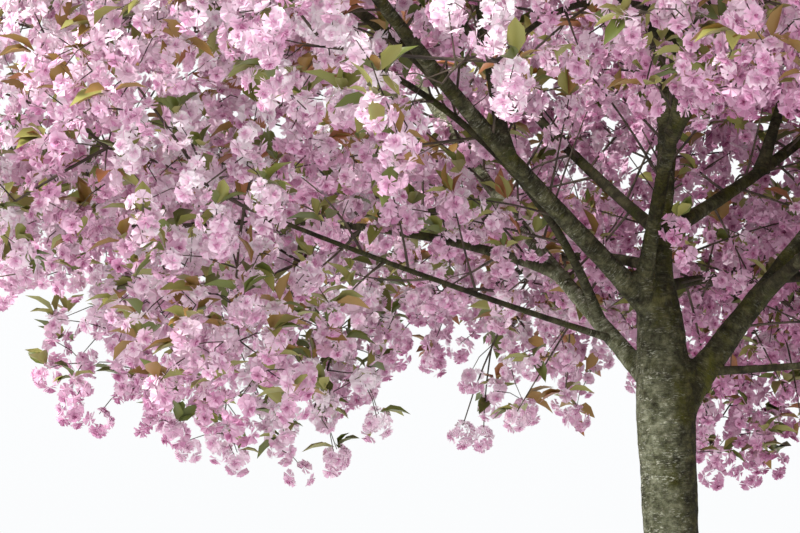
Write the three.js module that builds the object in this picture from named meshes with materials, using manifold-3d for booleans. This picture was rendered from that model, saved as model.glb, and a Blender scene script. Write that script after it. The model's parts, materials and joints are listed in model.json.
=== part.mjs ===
// A double-flowered ornamental cherry in full bloom, rooted in the ground.
//
// Millimetres, +Z up. The origin is the middle of the flat cut under the trunk, at ground level.
// +X is the right-hand side of the tree as it is seen from the path, and -Y is its front.
//
// The tree is one trunk, one tapering limb for each main bough, and one mass of blossom on each
// bough's end. A mass keeps to a space of its own. One stem goes on from the bough's tip, twigs
// branch from it by a seeded rule, and each twig carries a spray of blossom with a young leaf.

import * as THREE from 'three';
import { mergeVertices } from 'three/addons/utils/BufferGeometryUtils.js';
import Module from 'manifold-3d';

const wasm = await Module();
wasm.setup();

// The trunk leans a little and stands up straighter towards its fork.
const TRUNK = { bearing: 0, rise: 88.5, length: 2700, turn: 0, lift: 5 };
// Its radius at some distances along it: root flare, clean stem, the swelling where the flowering
// variety was grafted on, and the shoulder under the fork.
const GIRTH = [
  [0, 158], [60, 141], [150, 127], [400, 112], [1000, 104], [1830, 95], [2050, 96],
  [2160, 101], [2300, 98], [2450, 85], [2540, 79], [2620, 69], [2670, 57], [2700, 42],
];
const FLARE_LOBES = 5; // the main roots that swell the foot of the trunk
const FLARE_DEPTH = 0.34; // how far a lobe stands out at the ground, as a share of the radius
const FLARE_FADE = 120; // the height over which the lobes fade into the round stem
const TRUNK_SIDES = 16;

// name, the limb that carries it, distance along that limb, bearing, rise, length, turn, lift,
// radius at its foot, radius at its tip. Bearing is the compass turn from +X towards +Y and rise is
// the angle above level, both in degrees where the bough starts. Turn and lift are what they change
// by on the way to its tip.
const BOUGHS = [
  ['left_back', 'trunk', 2280, 151, 47, 2270, -39, -2, 31, 16],
  ['left', 'left_back', 360, 236, 56, 1630, -55, -39, 16, 9],
  ['left_skirt', 'left_back', 280, 216, 11, 1470, 6, 2, 11, 7],
  ['left_low', 'left_back', 620, 178, 20, 1300, 3, -25, 18, 9],
  ['back_left_low', 'left_back', 930, 130, 12, 1030, 2, -29, 17, 9],
  ['left_main', 'trunk', 2560, 204, 40, 2170, 31, -1, 36, 17],
  ['left_high', 'left_main', 1160, 168, 43, 1290, -33, -21, 21, 11],
  ['left_top', 'left_main', 800, 240, 68, 1650, 11, 5, 21, 11],
  ['front', 'left_main', 90, 288, 68, 2070, -8, -49, 28, 14],
  ['front_left', 'front', 750, 255, 45, 1390, -19, -22, 18, 10],
  ['front_hanging', 'front', 1000, 235, 10, 1280, 8, -40, 14, 8],
  ['front_low', 'front', 1050, 262, 10, 1010, 2, -24, 14, 8],
  ['front_right', 'front', 600, 310, 45, 1520, 12, -24, 19, 10],
  ['leader', 'trunk', 2640, 30, 85, 2680, 68, -2, 38, 13],
  ['right_top', 'leader', 820, 345, 60, 1550, -41, -13, 24, 11],
  ['left_inner', 'leader', 200, 110, 25, 2380, 83, 53, 21, 10],
  ['right_back', 'leader', 200, 46, 24, 1950, -2, 14, 27, 13],
  ['right_back_top', 'right_back', 620, 40, 68, 1670, -26, -2, 19, 10],
  ['back_top', 'leader', 600, 95, 50, 1830, -2, 6, 24, 11],
  ['right', 'trunk', 2200, -5, 54, 2450, 28, -11, 42, 17],
  ['right_front', 'right', 520, 307, 29, 1910, 39, 14, 24, 11],
  ['right_low', 'right', 210, 331, -1, 1680, 39, 23, 13, 8],
  ['right_skirt', 'right_front', 250, 306, 12, 1210, -1, -8, 14, 8],
  ['back', 'trunk', 2420, 85, 48, 2260, 0, -14, 38, 16],
  ['back_left_skirt', 'back', 450, 118, 15, 1430, -14, -23, 20, 10],
  ['back_right_skirt', 'back', 350, 62, 12, 1470, 9, -18, 20, 10],
  ['right_back_low', 'right', 620, 48, 4, 1330, -9, -1, 18, 10],
];
const COLLAR = 0.4; // how much a bough swells where it leaves its parent
const COLLAR_FADE = 80; // the distance over which the swelling fades
const BOUGH_SIDES = 6;
const BOUGH_RINGS = 6;
const LINE_STEPS = 24; // steps in which a limb's line is drawn
const GAP = 0.3; // between solids that touch
const CUT_GROW = 0.4; // a limb is cut clear by its neighbour grown this much, for that gap

// The crown is a wide egg of blossom. Its underside is a skirt, lifted over the path in front.
const CROWN = { x: 0, y: 0, z: 3950, rx: 3120, ry: 3020, rz: 2380 };
const CORE = 0.3; // sprays keep out of the bare middle: the share of the squared radius inside it
const SKIRT = 1950;
const PATH = { left: -1000, middle: -450, right: 560, back: 300 };
const PATH_SIDE = { z: 2790, slope: 0.108 };
const PATH_FORK = { z: 3190, slope: 0.1447 };

// The masses and their sprays.
const MASS_AHEAD = 550; // a mass is centred this far beyond its bough's tip
const MASS_REACH = 1150; // and no spray goes further than this from that centre
const SPRAY_TRIES = 900;
const SPRAYS = 9; // in each mass
const SPRAY_SMALL = 225; // outer radius of the smallest and the largest spray
const SPRAY_LARGE = 325;
const SPRAY_SLIM = 0.92; // a spray's width for its length along the twig
const SPRAY_SPACING = 0.74; // least distance of two sprays, as a share of their radii together
const WALL_CLEAR = 3; // between a spray and the wall of its mass's space
const LIMB_CLEAR = 12; // between a spray or twig and any limb
const STEM = 150; // the stem's length from the bough's tip to the first fork
const PATH_COST = 0.4; // how much a twig minds a roundabout way back to the stem
const TWIG = 6.5; // radius of a twig that carries one spray
const TWIG_POWER = 0.45; // twigs that carry more are thicker by this power of their number
const TWIG_SIDES = 3;
const LEAF = { length: 270, width: 112, thick: 20, root: 0.5, turns: 6, every: 3 };

// Steps of a sequence that fills a box evenly, and of one that fills a line evenly.
const EVEN = [0.8191725134, 0.6710436067, 0.5497004779];
const GOLDEN = 0.6180339887;
const SEED_STEP = 613;

const BARK = { color: 0x5d5848, roughness: 0.9, metalness: 0 };
const BLOSSOM = { color: 0xd79abf, roughness: 0.75, metalness: 0 };

const UP = new THREE.Vector3(0, 0, 1);
const fraction = (value) => value - Math.floor(value);
const even = (n, k) => fraction(0.5 + n * EVEN[k]);

function direction(bearing, rise) {
  const b = THREE.MathUtils.degToRad(bearing);
  const e = THREE.MathUtils.degToRad(rise);
  return new THREE.Vector3(Math.cos(b) * Math.cos(e), Math.sin(b) * Math.cos(e), Math.sin(e));
}

// A value from a table of [distance, value] pairs, straight between them.
function fromTable(table, s) {
  let k = 1;
  while (k < table.length - 1 && table[k][0] < s) k += 1;
  const [s0, v0] = table[k - 1];
  const [s1, v1] = table[k];
  return v0 + ((v1 - v0) * (s - s0)) / (s1 - s0);
}

// A limb's line: its bearing and rise change evenly from its foot to its tip.
function drawLine(start, { bearing, rise, length, turn, lift }) {
  const points = [start.clone()];
  const directions = [direction(bearing, rise)];
  for (let k = 0; k < LINE_STEPS; k += 1) {
    const t = (k + 0.5) / LINE_STEPS;
    const step = direction(bearing + turn * t, rise + lift * t).multiplyScalar(length / LINE_STEPS);
    points.push(points[k].clone().add(step));
    const end = (k + 1) / LINE_STEPS;
    directions.push(direction(bearing + turn * end, rise + lift * end));
  }
  return { length, points, directions };
}

function pointAt(limb, s) {
  const u = (s / limb.length) * LINE_STEPS;
  const k = Math.min(Math.floor(u), LINE_STEPS - 1);
  return limb.points[k].clone().lerp(limb.points[k + 1], u - k);
}

const limbs = new Map();
const trunk = drawLine(new THREE.Vector3(), TRUNK);
trunk.radius = (s) => fromTable(GIRTH, s);
limbs.set('trunk', trunk);
for (const [name, parent, at, bearing, rise, length, turn, lift, foot, tip] of BOUGHS) {
  const limb = drawLine(pointAt(limbs.get(parent), at), { bearing, rise, length, turn, lift });
  limb.radius = (s) =>
    (foot + ((tip - foot) * s) / length) * (1 + COLLAR * Math.exp(-s / COLLAR_FADE));
  limb.tip = tip;
  limbs.set(name, limb);
}

// A closed geometry becomes a solid once the vertices that its faces share are merged.
function solid(geometry) {
  geometry.deleteAttribute('normal');
  geometry.deleteAttribute('uv');
  const merged = mergeVertices(geometry, 1e-4);
  return new wasm.Manifold(
    new wasm.Mesh({
      numProp: 3,
      vertProperties: new Float32Array(merged.attributes.position.array),
      triVerts: new Uint32Array(merged.index.array),
    }),
  );
}

// The largest connected piece: loose scraps are dropped and sealed hollows are filled.
function largest(body) {
  const pieces = body.decompose();
  pieces.sort((a, b) => b.volume() - a.volume());
  return pieces[0];
}

// A round limb is a cylinder bent along the limb's line, each ring square to the line.
function limbSolid(limb, sides, stops, grow = 0, flare = null) {
  const geometry = new THREE.CylinderGeometry(1, 1, 1, sides, stops.length - 1)
    .rotateX(Math.PI / 2)
    .translate(0, 0, 0.5);
  const position = geometry.attributes.position;
  const vertex = new THREE.Vector3();
  const turn = new THREE.Quaternion();
  const axis = new THREE.Vector3();
  for (let v = 0; v < position.count; v += 1) {
    vertex.fromBufferAttribute(position, v);
    const ring = Math.round(vertex.z * (stops.length - 1));
    const s = stops[ring];
    const u = (s / limb.length) * LINE_STEPS;
    const k = Math.min(Math.floor(u), LINE_STEPS - 1);
    axis.copy(limb.directions[k]).lerp(limb.directions[k + 1], u - k).normalize();
    turn.setFromUnitVectors(UP, axis);
    const angle = Math.atan2(vertex.y, vertex.x);
    const away = Math.hypot(vertex.x, vertex.y);
    const radius = limb.radius(s) * (flare ? flare(s, angle) : 1) + grow;
    const end = ring === 0 ? -grow : ring === stops.length - 1 ? grow : 0;
    vertex.set(vertex.x, vertex.y, 0).multiplyScalar(away > 0 ? radius / away : 0);
    vertex.applyQuaternion(turn).add(pointAt(limb, s)).addScaledVector(axis, end);
    if (flare && ring === 0) vertex.z = 0;
    position.setXYZ(v, vertex.x, vertex.y, vertex.z);
  }
  return solid(geometry);
}

const evenStops = (limb, rings) =>
  Array.from({ length: rings + 1 }, (unused, ring) => (limb.length * ring) / rings);

const trunkFlare = (s, angle) =>
  1 + FLARE_DEPTH * Math.exp(-s / FLARE_FADE) * (0.5 + 0.5 * Math.cos(FLARE_LOBES * angle + 0.7));

const material = (look) => new THREE.MeshStandardMaterial(look);

function node(name, body, look, origin = new THREE.Vector3()) {
  const mesh = body.getMesh();
  const geometry = new THREE.BufferGeometry();
  geometry.setAttribute('position', new THREE.BufferAttribute(mesh.vertProperties, 3));
  geometry.setIndex(new THREE.BufferAttribute(mesh.triVerts, 1));
  const object = new THREE.Mesh(geometry, material(look));
  object.name = name;
  object.position.copy(origin);
  return object;
}

const tree = new THREE.Group();
tree.name = 'cherry_tree';

// The limbs, each cut clear of every limb made before it, so that a bough sits on its parent.
const cutters = [];
for (const [name, limb] of limbs) {
  const isTrunk = name === 'trunk';
  const sides = isTrunk ? TRUNK_SIDES : BOUGH_SIDES;
  const stops = isTrunk ? GIRTH.map(([s]) => s) : evenStops(limb, BOUGH_RINGS);
  const flare = isTrunk ? trunkFlare : null;
  let body = limbSolid(limb, sides, stops, 0, flare);
  for (const cutter of cutters) body = body.subtract(cutter);
  tree.add(node(isTrunk ? name : `bough_${name}`, largest(body), BARK));
  cutters.push(limbSolid(limb, sides, stops, CUT_GROW, isTrunk ? trunkFlare : null));
}

// The least distance of two straight stretches, a to b and c to d.
function stretchGap(a, b, c, d) {
  const u = b.clone().sub(a);
  const v = d.clone().sub(c);
  const w = a.clone().sub(c);
  const uu = u.dot(u);
  const vv = v.dot(v);
  const uv = u.dot(v);
  const spread = uu * vv - uv * uv;
  let s = spread > 1e-6 ? (uv * v.dot(w) - vv * u.dot(w)) / spread : 0;
  s = THREE.MathUtils.clamp(s, 0, 1);
  const t = THREE.MathUtils.clamp((v.dot(w) + s * uv) / vv, 0, 1);
  s = uu > 0 ? THREE.MathUtils.clamp((t * uv - u.dot(w)) / uu, 0, 1) : 0;
  return w.addScaledVector(u, s).addScaledVector(v, -t).length();
}

// Whether a stretch of the given radius stays clear of every limb.
function clearOfLimbs(a, b, radius, clear = LIMB_CLEAR) {
  for (const limb of limbs.values()) {
    for (let k = 0; k < LINE_STEPS; k += 1) {
      const thick = limb.radius((limb.length * k) / LINE_STEPS) * (limb === trunk ? 1.35 : 1);
      const far = radius + thick + clear;
      if (stretchGap(a, b, limb.points[k], limb.points[k + 1]) < far) return false;
    }
  }
  return true;
}

// The underside of the crown over a stretch of ground from x - r to x + r.
function underside(x, y, r) {
  if (y - r > PATH.back || x + r < PATH.left || x - r > PATH.right) return SKIRT;
  const lane = x + r < PATH.middle ? PATH_SIDE : PATH_FORK;
  return Math.max(SKIRT, lane.z + lane.slope * y);
}

const centres = BOUGHS.map(([name]) => {
  const limb = limbs.get(name);
  return limb.points[LINE_STEPS].clone().addScaledVector(limb.directions[LINE_STEPS], MASS_AHEAD);
});

// The space of a mass is bounded half-way to each of its neighbours' centres.
function wallsOf(index) {
  const own = centres[index];
  return centres
    .filter((other) => other !== own)
    .map((other) => {
      const normal = other.clone().sub(own).normalize();
      return { normal, offset: normal.dot(own.clone().add(other).multiplyScalar(0.5)) };
    });
}

function insideSpace(space, p, r) {
  if (p.distanceTo(space.centre) + r > MASS_REACH) return false;
  if (p.z - r < underside(p.x, p.y, r)) return false;
  const x = (p.x - CROWN.x) / (CROWN.rx - r);
  const y = (p.y - CROWN.y) / (CROWN.ry - r);
  const z = (p.z - CROWN.z) / (CROWN.rz - r);
  if (x * x + y * y + z * z > 1) return false;
  return space.walls.every(({ normal, offset }) => normal.dot(p) + r + WALL_CLEAR < offset);
}

function outOfCore(p) {
  const x = (p.x - CROWN.x) / CROWN.rx;
  const y = (p.y - CROWN.y) / CROWN.ry;
  const z = (p.z - CROWN.z) / CROWN.rz;
  return x * x + y * y + z * z > CORE;
}

// The sprays of one mass: places from an even sequence, kept where they fit.
function placeSprays(index, space) {
  const sprays = [];
  for (let k = 1; k <= SPRAY_TRIES && sprays.length < SPRAYS; k += 1) {
    const n = index * SEED_STEP + k;
    const offset = new THREE.Vector3(even(n, 0), even(n, 1), even(n, 2));
    const p = offset.multiplyScalar(2).subScalar(1).multiplyScalar(MASS_REACH).add(space.centre);
    const r = SPRAY_SMALL + (SPRAY_LARGE - SPRAY_SMALL) * fraction(n * GOLDEN);
    if (!insideSpace(space, p, r) || !outOfCore(p)) continue;
    const fits = sprays.every((q) => p.distanceTo(q.p) > SPRAY_SPACING * (r + q.r));
    if (fits && clearOfLimbs(p, p, r)) sprays.push({ p, r, seed: n });
  }
  return sprays;
}

// Twigs branch from the stem: nearest spray first, each joined on where the way back is short.
function joinSprays(hub, sprays) {
  const nodes = [{ p: hub, way: 0, parent: null, load: 0 }];
  sprays.sort((a, b) => a.p.distanceTo(hub) - b.p.distanceTo(hub));
  for (const spray of sprays) {
    let best = null;
    let least = Infinity;
    for (const candidate of nodes) {
      const step = candidate.p.distanceTo(spray.p);
      const cost = step + PATH_COST * candidate.way;
      if (cost < least && clearOfLimbs(candidate.p, spray.p, 2 * TWIG)) {
        best = candidate;
        least = cost;
      }
    }
    if (!best) continue;
    nodes.push({ ...spray, way: best.way + best.p.distanceTo(spray.p), parent: best, load: 0 });
  }
  for (const spray of nodes.slice(1)) {
    for (let up = spray; up; up = up.parent) up.load += 1;
  }
  return nodes;
}

const twigRadius = (load) => TWIG * load ** TWIG_POWER;

// A three-sided twig from a to b, placed from the mass's own origin.
function twigSolid(a, b, radiusA, radiusB) {
  const length = a.distanceTo(b);
  const geometry = new THREE.CylinderGeometry(radiusB, radiusA, length, TWIG_SIDES, 1)
    .rotateX(Math.PI / 2)
    .translate(0, 0, length / 2);
  geometry.applyQuaternion(
    new THREE.Quaternion().setFromUnitVectors(UP, b.clone().sub(a).normalize()),
  );
  return solid(geometry.translate(a.x, a.y, a.z));
}

// A spray of blossom: a knobbly ball, a little longer along its twig.
function spraySolid(p, along, r, seed) {
  const geometry = new THREE.IcosahedronGeometry(1, 0);
  geometry.deleteAttribute('normal');
  geometry.deleteAttribute('uv');
  const ball = mergeVertices(geometry, 1e-4);
  const position = ball.attributes.position;
  const vertex = new THREE.Vector3();
  for (let v = 0; v < position.count; v += 1) {
    const knob = 0.9 + 0.1 * fraction((seed + v) * GOLDEN);
    vertex.fromBufferAttribute(position, v).multiplyScalar(knob);
    position.setXYZ(v, vertex.x, vertex.y, vertex.z);
  }
  ball.rotateZ(seed).scale(r * SPRAY_SLIM, r * SPRAY_SLIM, r);
  ball.applyQuaternion(new THREE.Quaternion().setFromUnitVectors(UP, along));
  return solid(ball.translate(p.x, p.y, p.z));
}

// Where a spray's leaf points: outwards along the twig and up, turned aside by the golden angle.
function leafDirection(along, seed, turn) {
  const angle = 2 * Math.PI * fraction((seed + turn * 3) * GOLDEN);
  const aside = new THREE.Vector3(Math.cos(angle), Math.sin(angle), 0.35);
  return along.clone().multiplyScalar(0.7).add(aside).normalize();
}

function leafSolid(root, way) {
  const blade = new THREE.OctahedronGeometry(1, 0)
    .scale(LEAF.length / 2, LEAF.width / 2, LEAF.thick / 2)
    .translate(LEAF.length / 2, 0, 0);
  const side = new THREE.Vector3().crossVectors(UP, way).normalize();
  const face = new THREE.Vector3().crossVectors(way, side);
  blade.applyMatrix4(new THREE.Matrix4().makeBasis(way, side, face));
  return solid(blade.translate(root.x, root.y, root.z));
}

// The masses of blossom, one beyond each bough's tip.
BOUGHS.forEach(([name], index) => {
  const limb = limbs.get(name);
  const along = limb.directions[LINE_STEPS];
  const foot = limb.points[LINE_STEPS].clone().addScaledVector(along, GAP);
  const hub = foot.clone().addScaledVector(along, STEM);
  const space = { centre: centres[index], walls: wallsOf(index) };
  const nodes = joinSprays(hub, placeSprays(index, space));
  const local = (p) => p.clone().sub(foot);
  const thick = Math.min(limb.tip, 1.6 * twigRadius(nodes[0].load));
  let body = twigSolid(local(foot), local(hub), thick, twigRadius(nodes[0].load));
  for (const [k, spray] of nodes.slice(1).entries()) {
    const way = spray.p.clone().sub(spray.parent.p).normalize();
    const radius = twigRadius(spray.load);
    body = body.add(twigSolid(local(spray.parent.p), local(spray.p), radius, radius * 0.8));
    body = body.add(spraySolid(local(spray.p), way, spray.r, spray.seed));
    const turns = k % LEAF.every === 0 ? LEAF.turns : 0;
    for (let turn = 0; turn < turns; turn += 1) {
      const points = leafDirection(way, spray.seed, turn);
      const root = spray.p.clone().addScaledVector(points, LEAF.root * spray.r);
      const tip = root.clone().addScaledVector(points, LEAF.length);
      const middle = root.clone().lerp(tip, 0.5);
      const fits = insideSpace(space, tip, LEAF.thick) && insideSpace(space, middle, LEAF.width / 2);
      if (!fits || !clearOfLimbs(root, tip, LEAF.width / 2)) continue;
      body = body.add(leafSolid(local(root), points));
      break;
    }
  }
  tree.add(node(`blossom_${name}`, largest(body), BLOSSOM, foot));
});

export default tree;
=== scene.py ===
# %% [markdown]
# # A double-flowered cherry in full bloom
# This lesson dresses a solid model of a garden cherry. The solid model gives the trunk, the main
# boughs and one space for each mass of blossom. Here the bark gets its relief, the twigs grow on
# from the boughs, and every twig gets its balls of double flowers and its young leaves.
# Everything is in metres. The origin is in the flat cut under the trunk, at ground level.

# %% Load the solid model
import json
import math
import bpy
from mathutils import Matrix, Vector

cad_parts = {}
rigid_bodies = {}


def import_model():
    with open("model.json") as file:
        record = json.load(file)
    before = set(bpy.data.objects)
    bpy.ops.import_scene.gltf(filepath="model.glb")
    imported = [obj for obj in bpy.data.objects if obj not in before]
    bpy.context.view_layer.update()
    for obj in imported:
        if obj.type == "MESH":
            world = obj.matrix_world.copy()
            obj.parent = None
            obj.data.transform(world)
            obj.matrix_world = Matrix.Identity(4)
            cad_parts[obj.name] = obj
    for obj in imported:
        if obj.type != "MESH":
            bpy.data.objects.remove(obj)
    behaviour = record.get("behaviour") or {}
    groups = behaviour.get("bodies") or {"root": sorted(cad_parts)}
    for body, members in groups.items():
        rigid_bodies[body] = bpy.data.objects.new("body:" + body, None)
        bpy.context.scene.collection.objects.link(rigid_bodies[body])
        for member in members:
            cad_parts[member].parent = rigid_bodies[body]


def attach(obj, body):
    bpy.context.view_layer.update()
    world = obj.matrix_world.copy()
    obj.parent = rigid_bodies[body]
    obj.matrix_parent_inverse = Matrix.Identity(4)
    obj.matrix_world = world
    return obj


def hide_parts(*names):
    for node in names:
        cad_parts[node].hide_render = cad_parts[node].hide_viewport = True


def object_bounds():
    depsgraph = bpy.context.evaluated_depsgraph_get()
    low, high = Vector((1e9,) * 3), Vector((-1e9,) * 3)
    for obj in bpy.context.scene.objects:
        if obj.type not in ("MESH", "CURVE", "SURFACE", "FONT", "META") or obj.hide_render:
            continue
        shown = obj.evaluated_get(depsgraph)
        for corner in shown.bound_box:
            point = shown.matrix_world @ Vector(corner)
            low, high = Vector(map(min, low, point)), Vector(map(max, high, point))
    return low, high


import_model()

from types import SimpleNamespace

import bmesh
import bpy
import numpy as np
from mathutils import Matrix, Vector, noise

cad_box = [list(corner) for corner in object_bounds()]

# %% [markdown]
# ## The camera
# A street tree is seen from the path, by someone who stands some way off and looks up a little
# with a long lens. A long lens flattens the crown: near and far twigs look almost the same size.
# The camera comes first, because the way the boughs cross each other depends on it.

# %% Place the camera
EYE = Vector((-0.925, -11.0, 1.6))
LOOK_UP = math.radians(5.85)
LENS = 145.6
SENSOR = 36.0
SEES_AS_FAR_AS = 1000.0


def add_object(name, data):
    thing = bpy.data.objects.new(name, data)
    bpy.context.scene.collection.objects.link(thing)
    return thing


camera_data = bpy.data.cameras.new("camera")
camera_data.lens = LENS
camera_data.sensor_width = SENSOR
camera_data.clip_end = SEES_AS_FAR_AS
camera = add_object("camera", camera_data)
camera.location = EYE
camera.rotation_euler = (math.radians(90) + LOOK_UP, 0, 0)
bpy.context.scene.camera = camera
print("camera at", tuple(EYE), "lens", LENS)

# %% [markdown]
# ## The limbs as lines
# A bough could be drawn point by point, but a few numbers say more: where it leaves its parent,
# its bearing and its rise there, its length, and how much both angles change on the way to its
# tip. The trunk and the boughs below are the same table as in the solid model, in metres.

# %% Name the limbs' sizes
# bearing, rise, length, turn, lift
TRUNK = (0, 88.5, 2.7, 0, 5)
# height, radius
GIRTH = [
    (0, 0.158), (0.06, 0.141), (0.15, 0.127), (0.4, 0.112), (1.0, 0.104), (1.83, 0.095),
    (2.05, 0.096), (2.16, 0.101), (2.3, 0.098), (2.45, 0.085), (2.54, 0.079), (2.62, 0.069),
    (2.67, 0.057), (2.7, 0.042),
]
FLARE_LOBES = 5
FLARE_DEPTH = 0.34
FLARE_FADE = 0.12
FLARE_TURN = 0.7
# name, parent, distance along it, bearing, rise, length, turn, lift, foot radius, tip radius
BOUGHS = [
    ("left_back", "trunk", 2.28, 151, 47, 2.27, -39, -2, 0.031, 0.016),
    ("left", "left_back", 0.36, 236, 56, 1.63, -55, -39, 0.016, 0.009),
    ("left_skirt", "left_back", 0.28, 216, 11, 1.47, 6, 2, 0.011, 0.007),
    ("left_low", "left_back", 0.62, 178, 20, 1.3, 3, -25, 0.018, 0.009),
    ("back_left_low", "left_back", 0.93, 130, 12, 1.03, 2, -29, 0.017, 0.009),
    ("left_main", "trunk", 2.56, 204, 40, 2.17, 31, -1, 0.036, 0.017),
    ("left_high", "left_main", 1.16, 168, 43, 1.29, -33, -21, 0.021, 0.011),
    ("left_top", "left_main", 0.8, 240, 68, 1.65, 11, 5, 0.021, 0.011),
    ("front", "left_main", 0.09, 288, 68, 2.07, -8, -49, 0.028, 0.014),
    ("front_left", "front", 0.75, 255, 45, 1.39, -19, -22, 0.018, 0.01),
    ("front_hanging", "front", 1.0, 235, 10, 1.28, 8, -40, 0.014, 0.008),
    ("front_low", "front", 1.05, 262, 10, 1.01, 2, -24, 0.014, 0.008),
    ("front_right", "front", 0.6, 310, 45, 1.52, 12, -24, 0.019, 0.01),
    ("leader", "trunk", 2.64, 30, 85, 2.68, 68, -2, 0.038, 0.013),
    ("right_top", "leader", 0.82, 345, 60, 1.55, -41, -13, 0.024, 0.011),
    ("left_inner", "leader", 0.2, 110, 25, 2.38, 83, 53, 0.021, 0.01),
    ("right_back", "leader", 0.2, 46, 24, 1.95, -2, 14, 0.027, 0.013),
    ("right_back_top", "right_back", 0.62, 40, 68, 1.67, -26, -2, 0.019, 0.01),
    ("back_top", "leader", 0.6, 95, 50, 1.83, -2, 6, 0.024, 0.011),
    ("right", "trunk", 2.2, -5, 54, 2.45, 28, -11, 0.042, 0.017),
    ("right_front", "right", 0.52, 307, 29, 1.91, 39, 14, 0.024, 0.011),
    ("right_low", "right", 0.21, 331, -1, 1.68, 39, 23, 0.013, 0.008),
    ("right_skirt", "right_front", 0.25, 306, 12, 1.21, -1, -8, 0.014, 0.008),
    ("back", "trunk", 2.42, 85, 48, 2.26, 0, -14, 0.038, 0.016),
    ("back_left_skirt", "back", 0.45, 118, 15, 1.43, -14, -23, 0.02, 0.01),
    ("back_right_skirt", "back", 0.35, 62, 12, 1.47, 9, -18, 0.02, 0.01),
    ("right_back_low", "right", 0.62, 48, 4, 1.33, -9, -1, 0.018, 0.01),
]
# a limb's foot is wider by this share, and the widening fades over this distance
COLLAR = 0.4
COLLAR_FADE = 0.08
STEPS = 24

# %% Draw each limb's line


def heading(bearing, rise):
    across, up = math.radians(bearing), math.radians(rise)
    level = math.cos(up)
    return np.array([math.cos(across) * level, math.sin(across) * level, math.sin(up)])


def draw_line(start, bearing, rise, length, turn, lift):
    points = [np.array(start, float)]
    headings = [heading(bearing, rise)]
    for k in range(STEPS):
        t = (k + 0.5) / STEPS
        points.append(points[k] + heading(bearing + turn * t, rise + lift * t) * length / STEPS)
        end = (k + 1) / STEPS
        headings.append(heading(bearing + turn * end, rise + lift * end))
    return SimpleNamespace(points=np.array(points), headings=np.array(headings), length=length)


def between(rows, length, s):
    u = min(max(s / length * STEPS, 0.0), STEPS - 1e-9)
    k = int(u)
    return rows[k] + (rows[k + 1] - rows[k]) * (u - k)


def on_limb(name, s):
    return between(limbs[name].points, limbs[name].length, s)


def along_limb(name, s):
    return between(limbs[name].headings, limbs[name].length, s)


limbs = {"trunk": draw_line((0, 0, 0), *TRUNK)}
limbs["trunk"].radius = lambda s: np.interp(s, *zip(*GIRTH))
for name, parent, at, bearing, rise, length, turn, lift, foot, tip in BOUGHS:
    limb = draw_line(on_limb(parent, at), bearing, rise, length, turn, lift)
    limb.radius = lambda s, foot=foot, tip=tip, length=length: (
        (foot + (tip - foot) * s / length) * (1 + COLLAR * np.exp(-s / COLLAR_FADE))
    )
    limb.tip = tip
    limbs[name] = limb
print(len(limbs), "limbs; the highest tip is at", round(max(l.points[-1][2] for l in limbs.values()), 2))

# %% [markdown]
# ## The spaces of the masses
# A crown in bloom looks like one cloud, but it hangs together in masses, one round the end of
# each bough. Loose flowers could be scattered over a ball, but then nothing would carry them.
# So each mass gets its own space, half-way to its neighbours, inside the crown's outline and
# above its underside, and twigs grow into that space from the bough's tip.

# %% Name the crown's sizes
# the crown's middle and half sizes, the share of it that has no sprays, and its lowest height
CROWN = np.array([0, 0, 3.95])
CROWN_HALF = np.array([3.12, 3.02, 2.38])
CORE = 0.3
SKIRT = 1.95
# the underside is lifted over the path in front: the path's edges, then height and slope
PATH_LEFT, PATH_MIDDLE, PATH_RIGHT, PATH_BACK = -1.0, -0.45, 0.56, 0.3
PATH_SIDE = (2.79, 0.108)
PATH_FORK = (3.19, 0.1447)
# a mass has its middle this far past the bough's tip, and reaches this far from there
MASS_AHEAD = 0.55
MASS_REACH = 1.15
WALL_CLEAR = 0.003
LIMB_CLEAR = 0.012
TRUNK_ROOM = 1.35
PARALLEL = 1e-18

line_from = np.concatenate([limb.points[:-1] for limb in limbs.values()])
line_to = np.concatenate([limb.points[1:] for limb in limbs.values()])
line_thick = np.concatenate([
    [limb.radius(limb.length * k / STEPS) * (TRUNK_ROOM if name == "trunk" else 1) for k in range(STEPS)]
    for name, limb in limbs.items()
])
centres = np.array([
    limbs[row[0]].points[-1] + limbs[row[0]].headings[-1] * MASS_AHEAD for row in BOUGHS
])
print(len(line_from), "straight steps of limbs to keep clear of")

# %% Measure the spaces


def unit(rows, tiny=0.0):
    """Rows of vectors brought to length one."""
    return rows / (np.linalg.norm(rows, axis=-1, keepdims=True) + tiny)


def walls_of(index):
    other = np.delete(centres, index, axis=0)
    normal = unit(other - centres[index])
    return normal, (normal * (other + centres[index]) / 2).sum(axis=1)


def underside(x, y, r):
    if y - r > PATH_BACK or x + r < PATH_LEFT or x - r > PATH_RIGHT:
        return SKIRT
    height, slope = PATH_SIDE if x + r < PATH_MIDDLE else PATH_FORK
    return max(SKIRT, height + slope * y)


def crown_share(p, r=0.0):
    """0 in the middle of the crown, 1 where a ball of radius r reaches its outline."""
    return (((p - CROWN) / (CROWN_HALF - r)) ** 2).sum()


def inside_space(space, p, r):
    if np.linalg.norm(p - space.centre) + r > MASS_REACH or p[2] - r < underside(p[0], p[1], r):
        return False
    in_walls = (space.normal @ p + r + WALL_CLEAR < space.offset).all()
    return crown_share(p, r) <= 1 and bool(in_walls)


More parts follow.
